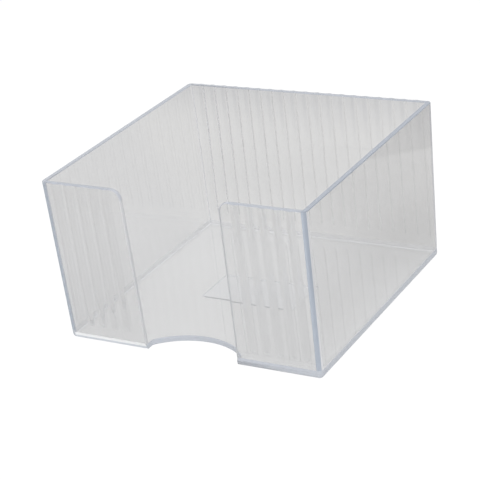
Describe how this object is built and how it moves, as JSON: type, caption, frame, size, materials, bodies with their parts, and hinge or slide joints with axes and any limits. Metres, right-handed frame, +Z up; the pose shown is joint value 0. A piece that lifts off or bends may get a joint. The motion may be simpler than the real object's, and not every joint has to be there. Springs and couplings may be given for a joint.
{
  "type": "memo holder",
  "caption": "Open clear plastic tray for a block of note paper, with plain sides, a reeded rear wall, and reeded front panels either side of a finger gap.",
  "frame": {"origin": "middle of the underside, on the table", "axes": "+Z up, the finger gap faces -Y, +X to the right seen from the front"},
  "size_m": [0.1, 0.0986, 0.0595],
  "materials": {
    "clear_plastic": "clear polystyrene, polished faces, bluish where a thick edge is seen end on"
  },
  "bodies": {
    "root": {"floor": "clear_plastic", "left_wall": "clear_plastic", "right_wall": "clear_plastic", "rear_wall": "clear_plastic", "front_left_panel": "clear_plastic", "front_right_panel": "clear_plastic"}
  },
  "joints": []
}
